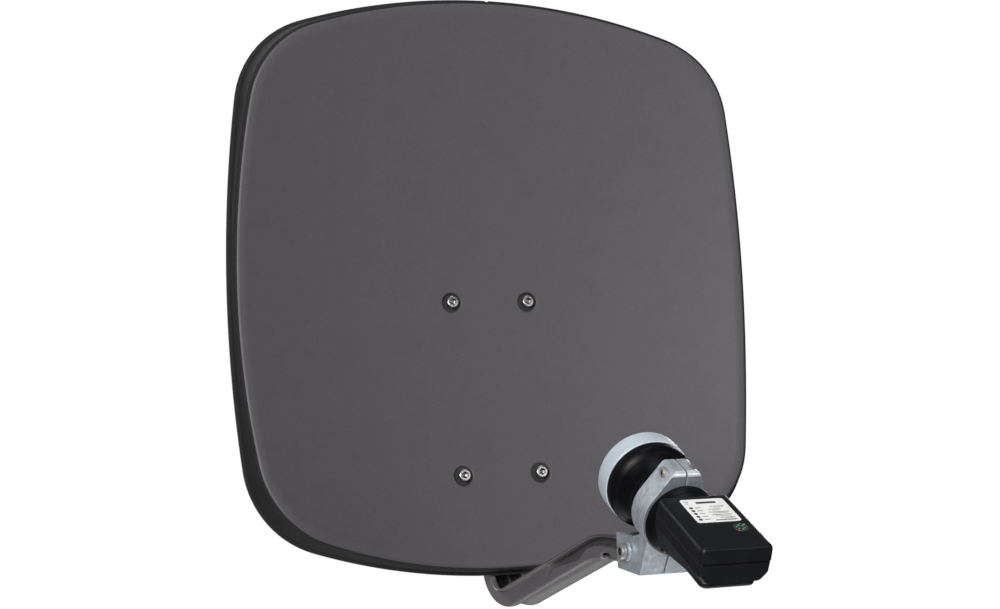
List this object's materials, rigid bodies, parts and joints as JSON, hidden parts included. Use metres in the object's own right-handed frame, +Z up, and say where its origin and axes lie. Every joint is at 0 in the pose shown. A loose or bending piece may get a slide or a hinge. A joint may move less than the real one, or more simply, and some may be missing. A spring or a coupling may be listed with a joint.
{
  "type": "satellite dish",
  "caption": "Offset satellite dish with a rounded square reflector, a channel feed arm that holds a feed horn and receiver housing in a split clamp, and a tilting mast bracket with a V jaw.",
  "frame": {"origin": "on the axis of the mast that the clamp grips, level with the middle of the bracket", "axes": "+Z up along the mast, -Y the way the dish faces, +X to the right of someone who faces the dish"},
  "size_m": [0.45, 0.6055, 0.4993],
  "materials": {
    "reflector_coating": "matte",
    "frame_coating": "matte",
    "arm_coating": "satin",
    "zinc_casting": "satin",
    "zinc_plated": "satin",
    "screw_steel": "satin",
    "cap_plastic": "satin",
    "seal_rubber": "matte",
    "horn_plastic": "satin",
    "housing_plastic": "satin",
    "circuit_board": "satin",
    "label_film": "satin",
    "lamp_lens": "gloss",
    "socket_nickel": "polished"
  },
  "bodies": {
    "mast": {"mast_bracket": "frame_coating", "clamp_bolt_left": "screw_steel", "clamp_bolt_right": "screw_steel", "pivot_bolt": "screw_steel", "pivot_nut": "screw_steel", "lock_screw_left": "screw_steel", "lock_screw_right": "screw_steel", "lock_washer_left": "screw_steel", "lock_washer_right": "screw_steel", "lock_nut_left": "screw_steel", "lock_nut_right": "screw_steel"},
    "dish": {"reflector": "reflector_coating", "rear_frame": "frame_coating", "feed_arm": "arm_coating", "reflector_screw_upper_left": "screw_steel", "reflector_screw_upper_right": "screw_steel", "reflector_screw_lower_left": "screw_steel", "reflector_screw_lower_right": "screw_steel", "reflector_nut_upper_left": "screw_steel", "reflector_nut_upper_right": "screw_steel", "reflector_nut_lower_left": "screw_steel", "reflector_nut_lower_right": "screw_steel", "arm_bolt_upper": "screw_steel", "arm_bolt_lower": "screw_steel", "arm_nut_upper": "screw_steel", "arm_nut_lower": "screw_steel", "clamp_left": "zinc_casting", "clamp_right": "zinc_casting", "clamp_top_screw": "screw_steel", "clamp_top_nut": "screw_steel", "clamp_foot_bolt": "screw_steel", "clamp_foot_washer": "screw_steel", "clamp_foot_nut": "screw_steel"},
    "lnb": {"feed_cap": "cap_plastic", "cap_seal": "seal_rubber", "feed_horn": "horn_plastic", "feed_neck": "horn_plastic", "upper_shell": "housing_plastic", "lower_shell": "housing_plastic", "circuit_board": "circuit_board", "rating_label": "label_film", "lamp_window": "lamp_lens", "cable_socket_left": "socket_nickel", "cable_socket_right": "socket_nickel", "shell_screw_left": "screw_steel", "shell_screw_right": "screw_steel"},
    "hood": {"weather_hood": "housing_plastic"},
    "jaw": {"mast_jaw": "zinc_plated", "jaw_washer_left": "screw_steel", "jaw_washer_right": "screw_steel", "jaw_nut_left": "screw_steel", "jaw_nut_right": "screw_steel"}
  },
  "joints": [
    {"name": "elevation", "type": "hinge", "parent": "mast", "child": "dish", "pos_m": [0, -0.072, -0.022], "axis": [-1, 0, 0], "range_deg": [-20, 18]},
    {"name": "polarisation", "type": "hinge", "parent": "dish", "child": "lnb", "pos_m": [0, -0.40425, -0.01888], "axis": [0, -0.9452, -0.3264], "range_deg": [-30, 30]},
    {"name": "hood_slide", "type": "slide", "parent": "lnb", "child": "hood", "axis": [0, 0.3264, -0.9452], "range_m": [0, 0.008]},
    {"name": "mast_grip", "type": "slide", "parent": "mast", "child": "jaw", "axis": [0, 1, 0], "range_m": [-0.018, 0.0135]}
  ]
}
